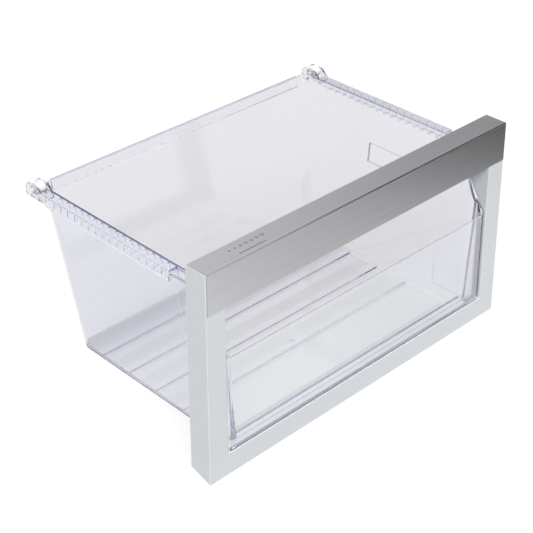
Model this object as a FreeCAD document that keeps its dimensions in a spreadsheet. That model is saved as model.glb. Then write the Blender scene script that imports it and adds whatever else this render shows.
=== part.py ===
import FreeCAD, Part
import os
import re
import Sketcher

Vector = FreeCAD.Vector

# Driving sizes in millimetres.
# Depths run back from the front face, heights run up from the foot of the frame.
SIZES = [
    # Window frame
    ("frame_w", 400.0),
    ("frame_h", 220.5),
    ("frame_d", 25.0),
    ("foot_rise", 7.2),
    ("post_w", 22.4),
    ("sill_z", 22.9),
    ("beam_h", 41.6),
    ("face_t", 3.0),
    ("shell_t", 2.4),
    ("sill_lip", 5.0),
    ("edge_r", 0.7),
    # Sheet trim over the top beam
    ("trim_t", 0.9),
    ("trim_lip", 1.4),
    ("trim_gap", 0.35),
    ("trim_bend", 1.3),
    # Clear tub
    ("wall_t", 2.5),
    ("base_z", 10.5),
    ("rim_drop", 25.5),
    ("rim_inset", 20.0),
    ("side_lean", 19.2),
    ("rim_back", 260.0),
    ("back_lean", 23.5),
    ("corner_r", 12.0),
    ("foot_r", 5.0),
    ("floor_r", 5.0),
    ("rim_r", 1.1),
    # Shallow box at the front of the tub, whose low panel fills the window
    ("panel_y", 0.8),
    ("panel_t", 2.0),
    ("panel_top", 124.5),
    ("panel_fit", 0.5),
    ("panel_r", 0.8),
    ("box_d", 8.7),
    ("box_r", 5.5),
    ("sill_run", 15.5),
    ("sill_rise", 0.8),
    ("ramp_run", 17.0),
    # Scooped front edge of the side walls
    ("scoop_r", 101.3),
    ("scoop_y", 29.1),
    # Thickened cheek at the front of each side wall
    ("cheek_t", 1.3),
    ("cheek_low", 52.0),
    ("cheek_high", 64.0),
    ("cheek_foot", 27.0),
    ("cheek_drop", 12.0),
    # Slide rails
    ("slide_ledge", 9.5),
    ("slide_front", 59.0),
    ("slide_lap", 2.0),
    ("slide_t", 2.0),
    ("skirt_t", 1.8),
    ("skirt_h", 11.4),
    ("rib_t", 1.5),
    ("rib_h", 9.0),
    ("rib_n", 16),
    ("rib_lead", 10.0),
    ("rib_tail", 15.5),
    ("tongue_w", 10.6),
    ("tongue_t", 2.4),
    ("tongue_drop", 1.6),
    # Thick band along the top of the back wall
    ("band_h", 12.0),
    ("band_t", 1.6),
    ("band_inset", 14.0),
    # Roller yokes and rollers
    ("ear_t", 2.2),
    ("ear_gap", 9.4),
    ("ear_inset", 8.9),
    ("ear_r", 4.0),
    ("yoke_lap", 23.0),
    ("yoke_tail", 4.0),
    ("yoke_drop", 6.9),
    ("yoke_rise", 6.4),
    ("axle_in", 8.0),
    ("axle_up", 2.6),
    ("axle_r", 2.2),
    ("axle_fit", 0.06),
    ("axle_end", 0.6),
    ("roller_r", 6.2),
    ("roller_w", 8.6),
    ("roller_edge", 0.8),
    # Floor ribs
    ("wave_n", 4),
    ("wave_first", 84.0),
    ("wave_tail", 31.45),
    ("wave_run", 26.0),
    ("wave_h", 2.2),
    ("wave_inset", 3.3),
    # Recessed panel in the right wall and gate mark in the floor
    ("recess_front", 74.0),
    ("recess_run", 81.0),
    ("recess_low", 129.0),
    ("recess_h", 20.5),
    ("recess_t", 1.3),
    ("recess_bevel", 1.1),
    ("gate_x", -5.0),
    ("gate_y", 94.0),
    ("gate_r", 4.0),
    ("gate_h", 0.7),
]

# Lengths that follow from the driving sizes
DERIVED = {
    "rim_z": "frame_h - rim_drop",
    "rim_half": "frame_w / 2 - rim_inset",
    "base_half": "rim_half - side_lean",
    "base_back": "rim_back - back_lean",
    "side_slope": "side_lean / (rim_z - base_z)",
    "back_slope": "back_lean / (rim_z - base_z)",
    "floor_z": "base_z + wall_t",
    "window_half": "frame_w / 2 - post_w",
    "beam_z": "frame_h - beam_h",
    "foot_in": "foot_rise + shell_t",
    "box_half": "window_half - panel_fit",
    "panel_back": "panel_y + panel_t",
    "jog_y": "panel_y + box_d",
    "jog_back": "jog_y + wall_t",
    "scoop_mid": "scoop_y - scoop_r",
    "slide_half": "rim_half + slide_ledge",
    "skirt_low": "rim_z - skirt_h",
    "yoke_front": "rim_back - yoke_lap",
    "yoke_back": "rim_back + yoke_tail",
    "yoke_foot": "rim_z - yoke_drop",
    "yoke_top": "rim_z + yoke_rise",
    "slide_back": "yoke_front + slide_lap",
    "rib_first": "slide_front + rib_lead",
    "ear_x": "slide_half - ear_inset",
    "ear_out": "ear_x + ear_gap",
    "axle_y": "rim_back - axle_in",
    "axle_z": "rim_z + axle_up",
    "tongue_z": "rim_z - tongue_drop",
}

doc = FreeCAD.newDocument("crisper_drawer")
sheet = doc.addObject("Spreadsheet::Sheet", "Sizes")
for row, (alias, size) in enumerate(SIZES, start=1):
    sheet.set("A%d" % row, alias)
    sheet.set("B%d" % row, str(size))
    sheet.setAlias("B%d" % row, alias)
doc.recompute()

ALIASES = {alias for alias, size in SIZES}


def formula(text):
    """The text with derived lengths written out and each size a reference to the sheet."""
    def written(found):
        word = found.group()
        if word in DERIVED:
            return "(%s)" % formula(DERIVED[word])
        return "Sizes." + word if word in ALIASES else word

    return re.sub(r"[a-z]\w*", written, text)


def number(text):
    """The present value of a formula."""
    return float(sheet.evalExpression(formula(text)))


def origin_part(body, role):
    """The origin plane or axis of a body that has the given role."""
    return next(item for item in body.Origin.OriginFeatures if item.Role == role)


def new_sketch(body, name, role, offset="0"):
    """A sketch on an origin plane of its body, moved along the plane's normal."""
    sketch = body.newObject("Sketcher::SketchObject", name)
    sketch.AttachmentSupport = (origin_part(body, role), [""])
    sketch.MapMode = "FlatFace"
    sketch.setExpression("AttachmentOffset.Base.z", formula(offset))
    return sketch


def bind(sketch, constraint, text):
    """Add a dimension whose value follows a formula."""
    index = sketch.addConstraint(constraint)
    sketch.setExpression("Constraints[%d]" % index, formula(text))


def pin(sketch, geo, pos, across, up):
    """Fix a point of a sketch by its two coordinates."""
    for kind, axis, text in (("DistanceX", -2, across), ("DistanceY", -1, up)):
        if text == "0":
            sketch.addConstraint(Sketcher.Constraint("PointOnObject", geo, pos, axis))
        else:
            bind(sketch, Sketcher.Constraint(kind, -1, 1, geo, pos, number(text)), text)


def add_polygon(sketch, points):
    """A closed outline of straight sides."""
    first = sketch.GeometryCount
    count = len(points)
    spots = [Vector(number(across), number(up), 0) for across, up in points]
    for index, spot in enumerate(spots):
        sketch.addGeometry(Part.LineSegment(spot, spots[(index + 1) % count]), False)
    for index in range(count):
        after = first + (index + 1) % count
        sketch.addConstraint(Sketcher.Constraint("Coincident", first + index, 2, after, 1))
    for index, (across, up) in enumerate(points):
        pin(sketch, first + index, 1, across, up)


def add_rectangle(sketch, left, right, low, high):
    """A closed rectangle between two pairs of formulas."""
    add_polygon(sketch, [(left, low), (right, low), (right, high), (left, high)])


def add_circle(sketch, across, up, radius):
    """A full circle with a fixed centre."""
    spot = Vector(number(across), number(up), 0)
    geo = sketch.addGeometry(Part.Circle(spot, Vector(0, 0, 1), number(radius)), False)
    pin(sketch, geo, 3, across, up)
    bind(sketch, Sketcher.Constraint("Radius", geo, number(radius)), radius)


def extrude(body, kind, name, sketch, length, backward=False, both=False):
    """A pad or pocket of a sketch with a bound length."""
    feature = body.newObject("PartDesign::" + kind, name)
    feature.Profile = sketch
    feature.setExpression("Length", formula(length))
    feature.Reversed = backward
    feature.SideType = "Symmetric" if both else "One side"
    sketch.Visibility = False
    doc.recompute()
    return feature


def dress(body, kind, name, size, wanted):
    """A fillet or chamfer on every edge that the test accepts."""
    base = body.Tip
    names = ["Edge%d" % (i + 1) for i, edge in enumerate(base.Shape.Edges) if wanted(edge)]
    feature = body.newObject("PartDesign::" + kind, name)
    feature.Base = (base, names)
    feature.setExpression("Radius" if kind == "Fillet" else "Size", formula(size))
    doc.recompute()
    return feature


def near(first, second, slack=0.02):
    """Whether two lengths agree."""
    return abs(first - second) < slack


def place(body, across="0", back="0", up="0"):
    """Put a body in the shared frame, whose origin is under the middle of the drawer."""
    body.setExpression("Placement.Base.x", formula(across))
    body.setExpression("Placement.Base.y", formula("(%s) - yoke_back / 2" % back))
    body.setExpression("Placement.Base.z", formula(up))


# Front edge of the side walls
# One large arc, upright at the rim and lying forward towards the panel.
def scoop_height(depth):
    """Formula of the height of the scooped edge at a depth."""
    return "(rim_z - sqrt(scoop_r ^ 2 - (%s - scoop_mid) ^ 2))" % depth


def add_scoop_outline(sketch, before, start_y, end_y, end_z):
    """A straight-sided outline closed by the scoop arc from start_y to the end point."""
    start = (start_y, scoop_height(start_y))
    points = before + [start]
    spots = [Vector(number(across), number(up), 0) for across, up in points]
    end = Vector(number(end_y), number(end_z), 0)
    middle = Vector(number("scoop_mid"), number("rim_z"), 0)
    across_axis = Vector(1, 0, 0)
    angles = sorted(
        -across_axis.getAngle(spot - middle) for spot in (spots[-1], end)
    )
    circle = Part.Circle(middle, Vector(0, 0, 1), number("scoop_r"))
    outline = [end] + spots
    for index in range(len(outline) - 1):
        sketch.addGeometry(Part.LineSegment(outline[index], outline[index + 1]), False)
    arc = sketch.addGeometry(Part.ArcOfCircle(circle, angles[0], angles[1]), False)
    for index in range(arc - 1):
        sketch.addConstraint(Sketcher.Constraint("Coincident", index, 2, index + 1, 1))
    sketch.addConstraint(Sketcher.Constraint("Coincident", arc - 1, 2, arc, 1))
    sketch.addConstraint(Sketcher.Constraint("Coincident", arc, 2, 0, 1))
    pin(sketch, 0, 1, end_y, end_z)
    for index, (across, up) in enumerate(points):
        pin(sketch, index, 2, across, up)
    bind(sketch, Sketcher.Constraint("Radius", arc, number("scoop_r")), "scoop_r")


# Tub
# One clear moulding: drafted walls, ribbed floor, low front panel, slide rails and roller yokes.
tub = doc.addObject("PartDesign::Body", "tub")
tub.Label = "tub"

def tub_half(height):
    """Formula of the outer half width of the tub at a height."""
    return "(base_half + (%s - base_z) * side_slope)" % height


def tub_back(height):
    """Formula of the depth of the outside of the back wall at a height."""
    return "(base_back + (%s - base_z) * back_slope)" % height


def drafted_form(body, inset, low, high, front, corner, foot):
    """A block whose sides and back lean out, rounded at the back corners and at the foot."""
    ends = new_sketch(body, body.Label + "_ends", "XZ_Plane", "-" + front)
    low_half = "(%s - %s)" % (tub_half(low), inset)
    high_half = "(%s - %s)" % (tub_half(high), inset)
    add_polygon(ends, [
        ("-" + low_half, low),
        (low_half, low),
        (high_half, high),
        ("-" + high_half, high),
    ])
    extrude(body, "Pad", body.Label + "_block", ends, "rim_back", backward=True)
    rear = new_sketch(body, body.Label + "_rear", "YZ_Plane")
    add_polygon(rear, [
        ("%s - %s" % (tub_back(low), inset), low),
        ("%s - %s" % (tub_back(high), inset), high),
        ("rim_back * 2", high),
        ("rim_back * 2", low),
    ])
    extrude(body, "Pocket", body.Label + "_lean", rear, "frame_w * 2", both=True)
    upright = number(high) - number(low) - 1
    dress(body, "Fillet", body.Label + "_corners", corner,
          lambda edge: edge.BoundBox.ZLength > upright
          and edge.CenterOfMass.y > number("base_back") / 2)
    dress(body, "Fillet", body.Label + "_foot", foot,
          lambda edge: edge.BoundBox.ZLength < 0.01
          and near(edge.CenterOfMass.z, number(low))
          and edge.CenterOfMass.y > number(front) + 1)


drafted_form(tub, "0", "base_z", "rim_z", "jog_y", "corner_r", "foot_r")

# The shallow box at the front is wider than the tub and has rounded upright corners.
box = new_sketch(tub, "box", "XY_Plane", "sill_z")
add_rectangle(box, "-box_half", "box_half", "panel_y", "jog_back")
BOX_TOP = scoop_height("jog_back")
extrude(tub, "Pad", "front_box", box, BOX_TOP + " - sill_z")


def upright_at(across, depth):
    """A test for the upright edges at a half width and depth."""
    return lambda edge: (near(abs(edge.CenterOfMass.x), number(across))
                         and near(edge.CenterOfMass.y, number(depth))
                         and edge.BoundBox.ZLength > number("panel_top") / 2)


dress(tub, "Fillet", "box_corners", "box_r", upright_at("box_half", "panel_y"))

# The inside is one drafted core, cut away at the front where the floor steps up.
core = doc.addObject("PartDesign::Body", "core")
core.Label = "core"
drafted_form(core, "wall_t", "floor_z", "(rim_z + 1)", "panel_back", "(corner_r - wall_t)", "floor_r")
sill = new_sketch(core, "sill", "YZ_Plane")
add_polygon(sill, [
    ("panel_y", "base_z"),
    ("sill_run + ramp_run + wall_t / 2", "base_z"),
    ("sill_run + ramp_run + wall_t / 2", "floor_z"),
    ("sill_run + wall_t / 2", "sill_z + wall_t + sill_rise"),
    ("jog_y", "sill_z + wall_t + sill_rise"),
    ("jog_y", "sill_z + wall_t"),
    ("panel_y", "sill_z + wall_t"),
])
extrude(core, "Pocket", "sill_step", sill, "frame_w", both=True)
hollow = tub.newObject("PartDesign::Boolean", "hollow")
hollow.Type = "Cut"
hollow.setObjects([core])
doc.recompute()
box_hollow = new_sketch(tub, "box_hollow", "XY_Plane", "sill_z + wall_t")
add_rectangle(box_hollow, "wall_t - box_half", "box_half - wall_t", "panel_back", "jog_y")
extrude(tub, "Pocket", "box_cut", box_hollow, "frame_h", backward=True)
dress(tub, "Fillet", "box_inner_corners", "box_r - wall_t",
      upright_at("box_half - wall_t", "panel_back"))

# Under the step, the tub is cut away over the bottom rail of the frame.
notch = new_sketch(tub, "notch", "YZ_Plane")
add_polygon(notch, [
    ("panel_y - 1", "base_z - 5"),
    ("sill_run + ramp_run", "base_z - 5"),
    ("sill_run + ramp_run", "base_z"),
    ("sill_run", "sill_z"),
    ("panel_y - 1", "sill_z"),
])
extrude(tub, "Pocket", "notch_cut", notch, "frame_w", both=True)

# Each side wall is thicker towards the front, which shows as an upright line on its outside.
def wall_sketch(name, inset):
    """A sketch lying on the leaning right wall, inset from its outside."""
    sketch = new_sketch(tub, name, "YZ_Plane", "base_half - %s - base_z * side_slope" % inset)
    lean = number("atan(side_slope)")
    sketch.AttachmentOffset = FreeCAD.Placement(Vector(), FreeCAD.Rotation(Vector(1, 0, 0), lean))
    sketch.setExpression("AttachmentOffset.Rotation.Angle", formula("atan(side_slope)"))
    return sketch


def mirror(body, name, originals):
    """The given features repeated on the left."""
    feature = body.newObject("PartDesign::Mirrored", name)
    feature.Originals = originals
    feature.MirrorPlane = (origin_part(body, "YZ_Plane"), [""])
    body.Tip = feature
    doc.recompute()


cheek = wall_sketch("cheek", "wall_t / 2")
add_polygon(cheek, [
    ("jog_back - wall_t / 2", "cheek_foot"),
    ("cheek_low", "cheek_foot"),
    ("cheek_high", "rim_z - cheek_drop"),
    ("jog_back - wall_t / 2", "rim_z - cheek_drop"),
])
right_cheek = extrude(tub, "Pad", "right_cheek", cheek, "wall_t / 2 + cheek_t")
mirror(tub, "left_cheek", [right_cheek])

# The side walls end in the scooped edge, and the panel between them in a level, rounded one.
scoop = new_sketch(tub, "scoop", "YZ_Plane")
add_scoop_outline(scoop, [
    ("scoop_y", "rim_z + 10"),
    ("panel_y - 1", "rim_z + 10"),
], "(panel_y - 1)", "scoop_y", "rim_z")
extrude(tub, "Pocket", "scoop_cut", scoop, "frame_w", both=True)
level = new_sketch(tub, "level", "YZ_Plane")
add_polygon(level, [
    ("panel_y - 1", "panel_top - panel_r"),
    ("panel_y", "panel_top - panel_r"),
    ("panel_y + panel_r * 0.3", "panel_top - panel_r * 0.3"),
    ("panel_y + panel_r", "panel_top"),
    ("panel_back - panel_r", "panel_top"),
    ("panel_back - panel_r * 0.3", "panel_top - panel_r * 0.3"),
    ("panel_back", "panel_top - panel_r"),
    ("panel_back + 1", "panel_top - panel_r"),
    ("panel_back + 1", "panel_top + 20"),
    ("panel_y - 1", "panel_top + 20"),
])
extrude(tub, "Pocket", "panel_level", level, "2 * (box_half - box_r)", both=True)

# Slide rails: top plate, outer skirt, closed front end and cross ribs on both sides.
RAIL_ROOT = "(rim_half - wall_t / 2)"


def both_sides(sketch, points):
    """The same outline on the right and, mirrored, on the left."""
    add_polygon(sketch, points)
    add_polygon(sketch, [("-(%s)" % across, up) for across, up in points])


rail = new_sketch(tub, "rail", "XZ_Plane", "-slide_front")
both_sides(rail, [
    (RAIL_ROOT, "rim_z"),
    ("slide_half", "rim_z"),
    ("slide_half", "skirt_low"),
    ("slide_half - skirt_t", "skirt_low"),
    ("slide_half - skirt_t", "rim_z - slide_t"),
    (RAIL_ROOT, "rim_z - slide_t"),
])
extrude(tub, "Pad", "slide_rails", rail, "slide_back - slide_front", backward=True)

rib = new_sketch(tub, "rib", "XZ_Plane", "-rib_first")
RIB_ROOT = "(%s - wall_t / 2)" % tub_half("(rim_z - rib_h)")
both_sides(rib, [
    (RAIL_ROOT, "rim_z - slide_t / 2"),
    ("slide_half - skirt_t / 2", "rim_z - slide_t / 2"),
    ("slide_half - skirt_t / 2", "rim_z - rib_h"),
    (RIB_ROOT, "rim_z - rib_h"),
])
rib_pad = extrude(tub, "Pad", "rib_pair", rib, "rib_t", backward=True)
ribs = tub.newObject("PartDesign::LinearPattern", "rib_row")
ribs.Originals = [rib_pad]
ribs.Direction = (origin_part(tub, "Y_Axis"), [""])
tub.Tip = ribs
ribs.setExpression("Length", formula("slide_back - rib_tail - rib_first"))
ribs.setExpression("Occurrences", formula("rib_n"))
doc.recompute()

end_wall = new_sketch(tub, "end_wall", "XZ_Plane", "-slide_front")
both_sides(end_wall, [
    (RAIL_ROOT, "rim_z"),
    ("slide_half", "rim_z"),
    ("slide_half", "skirt_low"),
    ("(%s - wall_t / 2)" % tub_half("skirt_low"), "skirt_low"),
])
extrude(tub, "Pad", "end_walls", end_wall, "skirt_t", backward=True)

# A tongue runs on from each rail into the hollow top beam of the frame.
tongue = new_sketch(tub, "tongue", "XZ_Plane", "-face_t")
both_sides(tongue, [
    ("slide_half - tongue_w", "tongue_z"),
    ("slide_half", "tongue_z"),
    ("slide_half", "tongue_z - tongue_t"),
    ("slide_half - tongue_w", "tongue_z - tongue_t"),
])
extrude(tub, "Pad", "tongues", tongue, "slide_front + skirt_t / 2 - face_t", backward=True)

# Band along the top of the back wall
band = new_sketch(tub, "band", "YZ_Plane")
add_polygon(band, [
    ("rim_back - wall_t / 2", "rim_z"),
    ("rim_back + band_t", "rim_z"),
    ("rim_back + band_t", "rim_z - band_h"),
    ("rim_back - band_h * back_slope - wall_t / 2", "rim_z - band_h"),
])
extrude(tub, "Pad", "back_band", band, "2 * (rim_half - band_inset)", both=True)

# The inner edge of the rim is rounded along both sides.
dress(tub, "Fillet", "rim_edges", "rim_r",
      lambda edge: near(edge.CenterOfMass.z, number("rim_z"))
      and near(abs(edge.CenterOfMass.x), number("rim_half - wall_t"), 0.1)
      and edge.BoundBox.YLength > number("slide_back - slide_front") / 2)

# Roller yokes: two ears on a web at the rear end of each rail.
def ear_outline(name, offset):
    """Side view of an ear with the hole for the roller's stub axle."""
    sketch = new_sketch(tub, name, "YZ_Plane", offset)
    add_polygon(sketch, [
        ("yoke_front", "yoke_foot"),
        ("yoke_back", "yoke_foot"),
        ("yoke_back", "yoke_top"),
        ("axle_y - roller_r", "yoke_top"),
        ("yoke_front + slide_lap", "rim_z"),
        ("yoke_front", "rim_z"),
    ])
    add_circle(sketch, "axle_y", "axle_z", "axle_r + axle_fit")
    return sketch


inner_ear = extrude(tub, "Pad", "inner_ear", ear_outline("inner_ear_side", "ear_x - ear_t"), "ear_t")
outer_ear = extrude(tub, "Pad", "outer_ear", ear_outline("outer_ear_side", "ear_out"), "ear_t")
web = new_sketch(tub, "web", "YZ_Plane", "ear_x - ear_t")
add_rectangle(web, "yoke_front", "rim_back - wall_t", "yoke_foot", "yoke_foot + slide_t")
yoke_web = extrude(tub, "Pad", "yoke_web", web, "ear_gap + 2 * ear_t")
mirror(tub, "left_yoke", [inner_ear, outer_ear, yoke_web])
dress(tub, "Fillet", "ear_rounds", "ear_r",
      lambda edge: near(edge.BoundBox.XLength, number("ear_t"))
      and edge.BoundBox.YLength < 0.01
      and (near(edge.CenterOfMass.y, number("yoke_back"))
           or near(edge.CenterOfMass.z, number("yoke_top"))))

# Floor ribs: a steep riser facing forward, then a long fall to the floor.
wave = new_sketch(tub, "wave", "YZ_Plane")
add_polygon(wave, [
    ("wave_first", "floor_z - wall_t / 2"),
    ("wave_first", "floor_z + wave_h"),
    ("wave_first + wave_run / 3", "floor_z + wave_h * 0.85"),
    ("wave_first + wave_run", "floor_z"),
    ("wave_first + wave_run", "floor_z - wall_t / 2"),
])
wave_pad = extrude(tub, "Pad", "floor_rib", wave, "2 * (base_half - wave_inset)", both=True)
waves = tub.newObject("PartDesign::LinearPattern", "floor_ribs")
waves.Originals = [wave_pad]
waves.Direction = (origin_part(tub, "Y_Axis"), [""])
tub.Tip = waves
waves.setExpression("Length", formula("base_back - wave_tail - wave_first"))
waves.setExpression("Occurrences", formula("wave_n"))
doc.recompute()

# Gate mark left by the moulding in the middle of the floor
gate = new_sketch(tub, "gate", "XY_Plane", "floor_z - wall_t / 2")
add_circle(gate, "gate_x", "gate_y", "gate_r")
extrude(tub, "Pad", "gate_mark", gate, "wall_t / 2 + gate_h + wave_h")

# Recessed panel in the inside of the right wall, square to its lean
recess = wall_sketch("recess", "wall_t")
add_rectangle(recess, "recess_front", "recess_front + recess_run",
              "recess_low", "recess_low + recess_h")
extrude(tub, "Pocket", "recess_cut", recess, "recess_t", backward=True)


def on_recess_mouth(edge):
    """Whether an edge bounds the mouth of the recess, on the inside of the right wall."""
    spot = edge.CenterOfMass
    surface = number(tub_half(str(spot.z)) + " - wall_t")
    return (near(spot.x, surface, 0.05)
            and number("recess_front") - 1 < spot.y < number("recess_front + recess_run") + 1
            and number("recess_low") - 1 < spot.z < number("recess_low + recess_h") + 1)


dress(tub, "Chamfer", "recess_bevels", "recess_bevel", on_recess_mouth)

place(tub)

# Front frame
# Satin moulding: a face plate with hollow posts, bottom rail and top beam, open at the back.
front_frame = doc.addObject("PartDesign::Body", "front_frame")
front_frame.Label = "front_frame"

HALF = "(frame_w / 2)"

face = new_sketch(front_frame, "face", "XZ_Plane")
add_rectangle(face, "-" + HALF, HALF, "0", "frame_h")
extrude(front_frame, "Pad", "block", face, "frame_d", backward=True)
window = new_sketch(front_frame, "window", "XZ_Plane")
add_rectangle(window, "-window_half", "window_half", "sill_z", "beam_z")
extrude(front_frame, "Pocket", "window_cut", window, "frame_d")
foot = new_sketch(front_frame, "foot", "YZ_Plane")
add_polygon(foot, [("0", "0"), ("frame_d", "foot_rise"), ("frame_d", "-1"), ("0", "-1")])
extrude(front_frame, "Pocket", "foot_slope", foot, "frame_w + 2", both=True)
channel = new_sketch(front_frame, "channel", "XZ_Plane", "-frame_d")
add_rectangle(channel, "shell_t - " + HALF, HALF + " - shell_t",
              "foot_in", "frame_h - trim_t - shell_t")
add_rectangle(channel, "-(window_half + shell_t)", "window_half + shell_t",
              "sill_z - shell_t", "beam_z + shell_t")
extrude(front_frame, "Pocket", "channel_cut", channel, "frame_d - face_t", backward=True)

# The inner sides of the posts follow the scoop. The bottom rail is its face plate and a short lip.
inner_sides = new_sketch(front_frame, "inner_sides", "YZ_Plane")
add_scoop_outline(inner_sides, [
    ("frame_d + 1", "-1"),
    ("face_t", "-1"),
    ("face_t", "sill_z - shell_t"),
    ("sill_lip", "sill_z - shell_t"),
    ("sill_lip", "sill_z"),
    ("face_t", "sill_z"),
], "face_t", "frame_d + 1", scoop_height("(frame_d + 1)"))
extrude(front_frame, "Pocket", "inner_side_cut", inner_sides, "2 * (window_half + shell_t) + 0.2",
        both=True)

# The trim lies in a step of its own thickness, beside a lip at the left end.
seat = new_sketch(front_frame, "seat", "YZ_Plane", "trim_lip - " + HALF)
add_polygon(seat, [
    ("-1", "beam_z"),
    ("trim_t", "beam_z"),
    ("trim_t", "frame_h - trim_t"),
    ("frame_d + 1", "frame_h - trim_t"),
    ("frame_d + 1", "frame_h + 1"),
    ("-1", "frame_h + 1"),
])
extrude(front_frame, "Pocket", "seat_cut", seat, "frame_w", backward=True)
dress(front_frame, "Fillet", "face_edges", "edge_r",
      lambda edge: all(near(vertex.Y, 0) for vertex in edge.Vertexes)
      and edge.CenterOfMass.z < number("beam_z") - 1
      and not near(edge.CenterOfMass.z, 0))
place(front_frame)

# Handle trim
# Brushed sheet folded once over the front and top of the beam.
handle_trim = doc.addObject("PartDesign::Body", "handle_trim")
handle_trim.Label = "handle_trim"
fold = new_sketch(handle_trim, "fold", "YZ_Plane", "trim_lip + trim_gap - " + HALF)
add_polygon(fold, [
    ("0", "beam_z"),
    ("trim_t", "beam_z"),
    ("trim_t", "frame_h - trim_t"),
    ("frame_d", "frame_h - trim_t"),
    ("frame_d", "frame_h"),
    ("0", "frame_h"),
])
extrude(handle_trim, "Pad", "sheet_metal", fold, "frame_w - trim_lip - trim_gap")
dress(handle_trim, "Fillet", "bend", "trim_bend",
      lambda edge: near(edge.CenterOfMass.y, 0) and near(edge.CenterOfMass.z, number("frame_h")))
place(handle_trim)

# Rollers
# White turned shape with a stub axle on each face, free to turn between the ears.
def make_roller(label, side):
    """One roller on the right (side 1) or left (side -1) yoke."""
    body = doc.addObject("PartDesign::Body", label)
    body.Label = label
    profile = new_sketch(body, label + "_profile", "XY_Plane")
    inner_end = "-%d * (ear_gap / 2 + ear_t - 0.3)" % side
    outer_end = "%d * (ear_gap / 2 + ear_t + axle_end)" % side
    inner_face = "-%d * roller_w / 2" % side
    outer_face = "%d * roller_w / 2" % side
    inner_bevel = "-%d * (roller_w / 2 - roller_edge)" % side
    outer_bevel = "%d * (roller_w / 2 - roller_edge)" % side
    add_polygon(profile, [
        (inner_end, "0"),
        (outer_end, "0"),
        (outer_end, "axle_r"),
        (outer_face, "axle_r"),
        (outer_face, "roller_r - roller_edge"),
        (outer_bevel, "roller_r"),
        (inner_bevel, "roller_r"),
        (inner_face, "roller_r - roller_edge"),
        (inner_face, "axle_r"),
        (inner_end, "axle_r"),
    ])
    turn = body.newObject("PartDesign::Revolution", label + "_turn")
    turn.Profile = profile
    turn.ReferenceAxis = (origin_part(body, "X_Axis"), [""])
    turn.Angle = 360
    place(body, "%d * (ear_x + ear_gap / 2)" % side, "axle_y", "axle_z")
    doc.recompute()
    return body


roller_left = make_roller("roller_left", -1)
roller_right = make_roller("roller_right", 1)

# Check and export
doc.recompute()
parts = [tub, front_frame, handle_trim, roller_left, roller_right]
for item in doc.Objects:
    if "Invalid" in item.State or "Error" in item.State:
        raise RuntimeError("%s did not build: %s" % (item.Label, item.State))
os.makedirs("parts", exist_ok=True)
for body in parts:
    if body.Shape.isNull() or not body.Shape.isValid() or len(body.Shape.Solids) != 1:
        raise RuntimeError("%s is not one sound solid" % body.Label)
    body.Shape.exportStep("parts/%s.step" % body.Label)
    print("%s %.1f cm3" % (body.Label, body.Shape.Volume / 1000), body.Shape.BoundBox)
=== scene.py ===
import math

import bpy
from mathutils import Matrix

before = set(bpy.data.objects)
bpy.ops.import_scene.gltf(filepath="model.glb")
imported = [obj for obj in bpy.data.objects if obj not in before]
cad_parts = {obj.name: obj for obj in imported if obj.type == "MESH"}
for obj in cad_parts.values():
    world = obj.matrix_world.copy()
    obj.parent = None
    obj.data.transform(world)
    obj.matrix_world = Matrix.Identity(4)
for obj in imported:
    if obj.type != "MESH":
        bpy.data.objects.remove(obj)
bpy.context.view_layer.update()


# Tub. The clear bin of the drawer is one injection moulding in crystal polystyrene, a little
# violet where light runs along inside it. Its tongues hold it in the back of the front frame.
class Signal:
    """A socket in a node tree. Operators add Math nodes, and node() adds any other node."""

    def __init__(self, tree, socket=None):
        self.tree = tree
        self.socket = socket

    def node(self, kind, settings, sockets, output=0):
        """A node of a type, with its settings set first, then its sockets' values or links."""
        made = self.tree.nodes.new("ShaderNode" + kind)
        for name, setting in settings.items():
            if name == "stops":
                ramp = made.color_ramp.elements
                while len(ramp) < len(setting):
                    ramp.new(1.0)
                for stop, (place, colour) in zip(ramp, setting):
                    stop.position = place
                    stop.color = colour
            else:
                setattr(made, name, setting)
        for name, value in sockets.items():
            if isinstance(value, Signal):
                self.tree.links.new(value.socket, made.inputs[name])
            else:
                made.inputs[name].default_value = value
        return Signal(self.tree, made.outputs[output])

    def maths(self, operation, *terms):
        """A Math node on signals or plain numbers."""
        return self.node("Math", {"operation": operation}, dict(enumerate(terms)))

    def part(self, axis):
        """The X, Y or Z of a vector."""
        return self.node("SeparateXYZ", {}, {"Vector": self}, axis)

    def blend(self, first, second):
        """A colour between two, where this signal is the share of the second."""
        # On a Mix node, inputs 6 and 7 and output 2 are the ones for colours.
        return self.node("Mix", {"data_type": "RGBA"}, {0: self, 6: first, 7: second}, 2)

    def __add__(self, other):
        return self.maths("ADD", self, other)

    __radd__ = __add__

    def __sub__(self, other):
        return self.maths("SUBTRACT", self, other)

    def __rsub__(self, other):
        return self.maths("SUBTRACT", other, self)

    def __mul__(self, other):
        return self.maths("MULTIPLY", self, other)

    __rmul__ = __mul__

    def __truediv__(self, other):
        return self.maths("DIVIDE", self, other)

    def __rtruediv__(self, other):
        return self.maths("DIVIDE", other, self)

    def __or__(self, other):
        return self.maths("MAXIMUM", self, other)

    __ror__ = __or__

    def __lt__(self, other):
        return self.maths("LESS_THAN", self, other)

    def __gt__(self, other):
        return self.maths("GREATER_THAN", self, other)

    def __abs__(self):
        return self.maths("ABSOLUTE", self)


def new_material(name):
    """An empty material, with a signal to build from and its output node."""
    material = bpy.data.materials.new(name)
    material.use_nodes = True
    material.node_tree.nodes.clear()
    output = material.node_tree.nodes.new("ShaderNodeOutputMaterial")
    return material, Signal(material.node_tree), output


def finish_material(output, surface, volume=None):
    """Link the finished shader, and a volume if there is one, to the output node."""
    surface.tree.links.new(surface.socket, output.inputs["Surface"])
    if volume:
        surface.tree.links.new(volume.socket, output.inputs["Volume"])


def dress_node(name, material):
    """Give every material slot of a CAD node the same finish."""
    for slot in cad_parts[name].material_slots:
        slot.material = material


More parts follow.
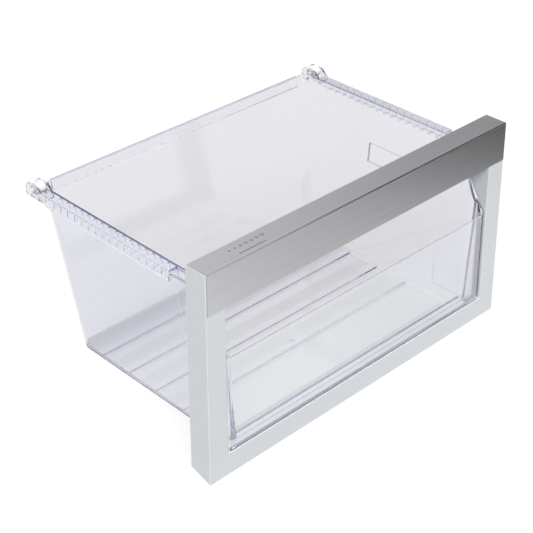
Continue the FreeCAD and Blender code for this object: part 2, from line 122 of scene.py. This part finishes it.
# Limits of the frosted places and of the floor, in metres in the part's frame.
FACES_UP = 0.3
FROST_ABOVE = 0.118
FROST_WITHIN = 0.1805
RIM_BEHIND = 0.115
PANEL_UP_TO = 0.130
BOX_BEFORE = -0.117
ENDS_FROM = 0.1744
ENDS_UP_TO = 0.125
SEAT_HEIGHT = 0.0229
SEAT_HALF = 0.0004
SEAT_BEFORE = -0.1268
FLOOR_UP_TO = 0.0165

FROST_SHARE = 0.55
FROST_TINT = (0.74, 0.74, 0.79, 1.0)
CLEAR_ROUGHNESS = 0.04
WAVY_ROUGHNESS = 0.05
POLYSTYRENE_IOR = 1.59
WALL_TINT = (0.945, 0.95, 0.985, 1.0)
SHADOW_TINT = (0.985, 0.985, 0.99, 1.0)
INNER_TINT = (0.70, 0.67, 0.90, 1.0)
INNER_DENSITY = 7.5

# Tint and painted shade of the floor over its depth, from 0 at the front to 1 at the back.
FLOOR_DEPTH = 0.25
FLOOR_MIDDLE = 0.5
FLOOR_TINT_AND_SHADE = [
    (0.38, (0.975, 0.985, 1.0, 1.0)),
    (0.50, (0.96, 0.97, 1.0, 1.0)),
    (0.66, (0.90, 0.905, 0.94, 1.0)),
    (0.82, (0.71, 0.715, 0.78, 1.0)),
    (0.90, (0.57, 0.575, 0.64, 1.0)),
]


def crystal_plastic():
    """Clear polystyrene: glassy, a trace of moulding waviness, violet over a long way inside.

    The back rim, the top edge of the front panel, the ends of the box behind the window and the
    foot that rests on the frame have the frosted texture of the mould. The floor is clear at the
    front, with painted shade that makes it greyer towards the back.
    """
    material, start, output = new_material("crystal_plastic")
    place = start.node("TexCoord", {}, {}, "Object")
    across, depth, height = place.part("X"), place.part("Y"), place.part("Z")
    upward = start.node("TexCoord", {}, {}, "Normal").part("Z")

    waviness = start.node("TexNoise", {}, {"Vector": place, "Scale": 38.0, "Detail": 2.0})
    normal = start.node("Bump", {}, {"Height": waviness, "Strength": 0.02, "Distance": 0.002})

    rim_or_panel = (depth > RIM_BEHIND) | (height < PANEL_UP_TO)
    on_top = (upward > FACES_UP) * (height > FROST_ABOVE)
    edges = on_top * (abs(across) < FROST_WITHIN) * rim_or_panel
    ends = (abs(across) > ENDS_FROM) * (depth < BOX_BEFORE) * (height < ENDS_UP_TO)
    seat = (abs(height - SEAT_HEIGHT) < SEAT_HALF) * (depth < SEAT_BEFORE)
    frost = seat | FROST_SHARE * (edges | ends)

    # Painted shade: the floor greys towards the back wall, and the front box keeps the clear
    # first stop.
    tint_and_shade = start.node("ValToRGB", {"stops": FLOOR_TINT_AND_SHADE}, {
        "Fac": depth / FLOOR_DEPTH + FLOOR_MIDDLE})
    floor_or_panel = (depth < BOX_BEFORE) | (height < FLOOR_UP_TO)
    clear = start.node("BsdfPrincipled", {}, {
        "Base Color": floor_or_panel.blend(WALL_TINT, tint_and_shade),
        "Roughness": CLEAR_ROUGHNESS + WAVY_ROUGHNESS * waviness,
        "IOR": POLYSTYRENE_IOR,
        "Transmission Weight": 1.0,
        "Normal": normal,
    })
    frosted = start.node("BsdfPrincipled", {}, {
        "Base Color": FROST_TINT,
        "Roughness": 0.5,
        "Normal": normal,
    })
    edged = start.node("MixShader", {}, {0: frost, 1: clear, 2: frosted})

    passing = start.node("BsdfTransparent", {}, {"Color": SHADOW_TINT})
    shadow_ray = start.node("LightPath", {}, {}, "Is Shadow Ray")
    surface = start.node("MixShader", {}, {0: shadow_ray, 1: edged, 2: passing})
    inside = start.node("VolumeAbsorption", {}, {"Color": INNER_TINT, "Density": INNER_DENSITY})
    finish_material(output, surface, inside)
    return material


dress_node("tub", crystal_plastic())


# Front frame. A hollow satin moulding in silver grey, open at the back, that carries the tub
# and shows its low front panel in a window.
SATIN_DARK = (0.602, 0.626, 0.650, 1.0)
SATIN_LIGHT = (0.640, 0.664, 0.684, 1.0)
SATIN_ROUGHNESS = 0.36
UNEVEN_ROUGHNESS = 0.1


def satin_grey():
    """Sprayed satin finish: fine orange peel and a barely uneven sheen."""
    material, start, output = new_material("satin_grey")
    place = start.node("TexCoord", {}, {}, "Object")
    peel = start.node("TexNoise", {}, {"Vector": place, "Scale": 900.0, "Detail": 2.0})
    cloud = start.node("TexNoise", {}, {"Vector": place, "Scale": 14.0, "Detail": 3.0})
    normal = start.node("Bump", {}, {"Height": peel, "Strength": 0.08, "Distance": 0.0004})
    shader = start.node("BsdfPrincipled", {}, {
        "Base Color": cloud.blend(SATIN_DARK, SATIN_LIGHT),
        "Roughness": SATIN_ROUGHNESS + UNEVEN_ROUGHNESS * cloud,
        "Specular IOR Level": 0.4,
        "Normal": normal,
    })
    finish_material(output, shader)
    return material


dress_node("front_frame", satin_grey())


# Handle trim. One strip of brushed stainless sheet, folded over the front and top of the beam
# and glued into its step. The grain runs along the strip, and plain marks are printed on top.
RING_START = -0.1615
RING_PITCH = 0.0064
RING_COUNT = 7.0
RING_ROW = -0.1163
RING_RADIUS = 0.0008
RING_GROWTH = 0.00013
RING_LINE = 0.00034
CELL_MIDDLE = 0.5
BAR_ROW = -0.1254
BAR_MIDDLE = -0.139
BAR_HALF_LENGTH = 0.016
BAR_HALF_WIDTH = 0.0005
TRIM_TOP = 0.2203
INK = (0.06, 0.06, 0.065, 1.0)
INK_SHARE = 0.75

HAIR_STRETCH = (14.0, 2600.0, 2600.0)
STREAK_STRETCH = (7.0, 420.0, 420.0)
STEEL_DARK = (0.50, 0.504, 0.52, 1.0)
STEEL_LIGHT = (0.70, 0.704, 0.725, 1.0)
STEEL_ROUGHNESS = 0.26
GRAIN_ROUGHNESS = 0.12
BEND_POLISH = 0.16
BEND_BACK = -0.1304
BEND_FOOT = 0.2189


def printed_marks(x, y, z):
    """One where the print lies: rings that grow along a row, and a thin bar in front of them."""
    count = (x - RING_START) / RING_PITCH
    radius = RING_RADIUS + RING_GROWTH * count.maths("FLOOR", count)
    along = (count.maths("FRACT", count) - CELL_MIDDLE) * RING_PITCH
    back = y - RING_ROW
    reach = count.maths("SQRT", along * along + back * back)
    ring = (abs(reach - radius) < RING_LINE) * (count > 0.0) * (count < RING_COUNT)
    bar = (abs(x - BAR_MIDDLE) < BAR_HALF_LENGTH) * (abs(y - BAR_ROW) < BAR_HALF_WIDTH)
    return (ring | bar) * (z > TRIM_TOP)


def brushed_steel():
    """Brushed grain: noise drawn out along the strip, in the colour, gloss and relief.

    The bend between the top and the front is smoother, as the fold draws the grain flat.
    """
    material, start, output = new_material("brushed_steel")
    place = start.node("TexCoord", {}, {}, "Object")
    x, y, z = place.part("X"), place.part("Y"), place.part("Z")

    fine = start.node("Mapping", {}, {"Vector": place, "Scale": HAIR_STRETCH})
    broad = start.node("Mapping", {}, {"Vector": place, "Scale": STREAK_STRETCH})
    hairs = start.node("TexNoise", {}, {"Vector": fine, "Scale": 1.0, "Detail": 2.0})
    streaks = start.node("TexNoise", {}, {"Vector": broad, "Scale": 1.0, "Detail": 3.0})
    grain = 0.5 * hairs + 0.5 * streaks
    normal = start.node("Bump", {}, {"Height": grain, "Strength": 0.12, "Distance": 0.0003})

    metal = grain.blend(STEEL_DARK, STEEL_LIGHT)
    print_share = INK_SHARE * printed_marks(x, y, z)
    bend = (y < BEND_BACK) * (z > BEND_FOOT)
    shader = start.node("BsdfPrincipled", {}, {
        "Base Color": print_share.blend(metal, INK),
        "Metallic": 1.0,
        "Roughness": STEEL_ROUGHNESS + GRAIN_ROUGHNESS * grain - BEND_POLISH * bend,
        "Normal": normal,
    })
    finish_material(output, shader)
    return material


dress_node("handle_trim", brushed_steel())


# Rollers. Two white acetal wheels, each moulded in one piece with its stub axle.
# They are sprung between the ears of the tub and turn freely there.
ACETAL_DARK = (0.78, 0.78, 0.78, 1.0)
ACETAL_LIGHT = (0.86, 0.86, 0.855, 1.0)
ACETAL_ROUGHNESS = 0.32
CLOUD_ROUGHNESS = 0.1


def white_acetal():
    """Milky white plastic with a soft gloss and a faintly cloudy surface."""
    material, start, output = new_material("white_acetal")
    place = start.node("TexCoord", {}, {}, "Object")
    cloud = start.node("TexNoise", {}, {"Vector": place, "Scale": 260.0, "Detail": 2.0})
    normal = start.node("Bump", {}, {"Height": cloud, "Strength": 0.05, "Distance": 0.0004})
    shader = start.node("BsdfPrincipled", {}, {
        "Base Color": cloud.blend(ACETAL_DARK, ACETAL_LIGHT),
        "Roughness": ACETAL_ROUGHNESS + CLOUD_ROUGHNESS * cloud,
        "Normal": normal,
    })
    finish_material(output, shader)
    return material


acetal = white_acetal()
dress_node("roller_left", acetal)
dress_node("roller_right", acetal)


# Studio. A pale table under one broad lamp, in a dome that is white at the horizon and dark on
# the right. A shaded card on the table shows only in reflections. None of it is the drawer's.
TABLE_HALF = 30.0
TABLE_HEIGHT = -0.0005
TABLE_GREY = (0.19, 0.19, 0.19, 1.0)
TABLE_LIFT = 0.84
LESS_THROUGH_PLASTIC = 0.25
WHITE = (1.0, 1.0, 1.0, 1.0)


def studio_floor():
    """A table top that is shown just white where no shadow falls on it.

    It is lifted for the camera and for reflections, and a little less through the plastic.
    """
    material, start, output = new_material("table_top")
    camera_ray = start.node("LightPath", {}, {}, "Is Camera Ray")
    glossy_ray = start.node("LightPath", {}, {}, "Is Glossy Ray")
    through_ray = start.node("LightPath", {}, {}, "Is Transmission Ray")
    shown = camera_ray | glossy_ray - LESS_THROUGH_PLASTIC * through_ray
    matt = start.node("BsdfDiffuse", {}, {"Color": TABLE_GREY})
    lift = start.node("Emission", {}, {"Color": WHITE, "Strength": TABLE_LIFT * shown})
    finish_material(output, start.node("AddShader", {}, {0: matt, 1: lift}))
    return material


def flat_sheet(name, left, right, front, back, height, material):
    """A level rectangle between its four limits, facing up."""
    mesh = bpy.data.meshes.new(name)
    mesh.from_pydata([
        (left, front, height),
        (right, front, height),
        (right, back, height),
        (left, back, height),
    ], [], [(0, 1, 2, 3)])
    mesh.materials.append(material)
    sheet = bpy.data.objects.new(name, mesh)
    bpy.context.scene.collection.objects.link(sheet)
    return sheet


flat_sheet("table", -TABLE_HALF, TABLE_HALF, -TABLE_HALF, TABLE_HALF, TABLE_HEIGHT,
           studio_floor())

CARD_LEFT, CARD_RIGHT = 0.0, 1.0
CARD_FRONT, CARD_BACK = -1.1, -0.27
CARD_HEIGHT = 0.0005
CARD_SHADES = [
    (0.0, (0.88, 0.88, 0.88, 1.0)),
    (0.25, (0.58, 0.58, 0.58, 1.0)),
    (0.42, (0.21, 0.21, 0.21, 1.0)),
    (0.55, (0.0, 0.0, 0.0, 1.0)),
]


def shaded_paper():
    """Paper that goes from nearly white at its left end to black at its right end."""
    material, start, output = new_material("shaded_paper")
    along = start.node("TexCoord", {}, {}, "Object").part("X")
    shade = start.node("ValToRGB", {"stops": CARD_SHADES}, {"Fac": along})
    finish_material(output, start.node("Emission", {}, {"Color": shade, "Strength": 1.0}))
    return material


card = flat_sheet("card", CARD_LEFT, CARD_RIGHT, CARD_FRONT, CARD_BACK, CARD_HEIGHT,
                  shaded_paper())
card.visible_camera = False
card.visible_diffuse = False
card.visible_shadow = False
card.visible_transmission = False

KEY_ENERGY = 3.05
KEY_SPREAD = 30.0
KEY_TILT = 50.0
KEY_TURN = -38.0
key = bpy.data.lights.new("key_light", "SUN")
key.energy = KEY_ENERGY
key.angle = math.radians(KEY_SPREAD)
key_holder = bpy.data.objects.new("key_light", key)
key_holder.rotation_euler = (math.radians(KEY_TILT), 0.0, math.radians(KEY_TURN))
key_holder.visible_transmission = False
key_holder.visible_glossy = False
bpy.context.scene.collection.objects.link(key_holder)

# The shades of the dome over the sine of the elevation, from the horizon up.
DOME_SHADES = [
    (0.10, (1.0, 1.0, 1.0, 1.0)),
    (0.25, (0.42, 0.42, 0.43, 1.0)),
    (0.40, (0.31, 0.31, 0.32, 1.0)),
    (0.55, (1.40, 1.40, 1.41, 1.0)),
    (0.65, (1.05, 1.05, 1.06, 1.0)),
    (0.80, (0.50, 0.50, 0.51, 1.0)),
]
DARK_SIDE = (0.01, 0.01, 0.01, 1.0)
DARK_FROM_RIGHT = (0.585, 0.63)
DARK_TO_BACK = (0.05, 0.4)
DARK_AT_BACK = 0.52
DARK_FROM_UP = (0.04, 0.14)


def soft_step(value, limits, low, high):
    """A smooth change from one number to another between two limits of a signal."""
    return value.node("MapRange", {"interpolation_type": "SMOOTHSTEP"}, {
        "Value": value,
        "From Min": limits[0],
        "From Max": limits[1],
        "To Min": low,
        "To Max": high,
    })


world = bpy.data.worlds.new("studio")
world.use_nodes = True
world.node_tree.nodes.clear()
sky = Signal(world.node_tree)
direction = sky.node("TexCoord", {}, {}, "Generated")
rise = direction.part("Z")
dome = sky.node("ValToRGB", {"stops": DOME_SHADES}, {"Fac": rise})
right_side = soft_step(direction.part("X"), DARK_FROM_RIGHT, 0.0, 1.0)
front_side = soft_step(direction.part("Y"), DARK_TO_BACK, 1.0, DARK_AT_BACK)
upper_side = soft_step(rise, DARK_FROM_UP, 0.0, 1.0)
dark = right_side * front_side * upper_side
glow = sky.node("Background", {}, {"Color": dark.blend(dome, DARK_SIDE), "Strength": 1.0})
sky_output = world.node_tree.nodes.new("ShaderNodeOutputWorld")
world.node_tree.links.new(glow.socket, sky_output.inputs["Surface"])
bpy.context.scene.world = world


# Camera. It stands a little over a metre off at the left front, above the rim, and looks down.
# The picture is shifted in the lens, as in a photograph cropped from a wider one.
IMAGE_SIDE = 533.0
FOCAL_PIXELS = 1454.14
CENTRE_PIXEL = (276.47, 135.24)
SENSOR_WIDTH = 36.0
CAMERA_PLACE = (-0.8589, -0.8924, 0.8744)
LOOK_DOWN = 27.49
LOOK_TURN = -44.26
BOUNCES = 128
lens = bpy.data.cameras.new("view")
lens.sensor_width = SENSOR_WIDTH
lens.lens = FOCAL_PIXELS * SENSOR_WIDTH / IMAGE_SIDE
lens.shift_x = (IMAGE_SIDE / 2 - CENTRE_PIXEL[0]) / IMAGE_SIDE
lens.shift_y = (CENTRE_PIXEL[1] - IMAGE_SIDE / 2) / IMAGE_SIDE
camera = bpy.data.objects.new("view", lens)
camera.location = CAMERA_PLACE
camera.rotation_euler = (math.radians(90.0 - LOOK_DOWN), 0.0, math.radians(LOOK_TURN))
bpy.context.scene.collection.objects.link(camera)
bpy.context.scene.camera = camera
bpy.context.scene.view_settings.view_transform = "Standard"
paths = bpy.context.scene.cycles
paths.max_bounces = BOUNCES
paths.glossy_bounces = BOUNCES
paths.transmission_bounces = BOUNCES
paths.transparent_max_bounces = BOUNCES // 2
paths.caustics_refractive = False
paths.caustics_reflective = False
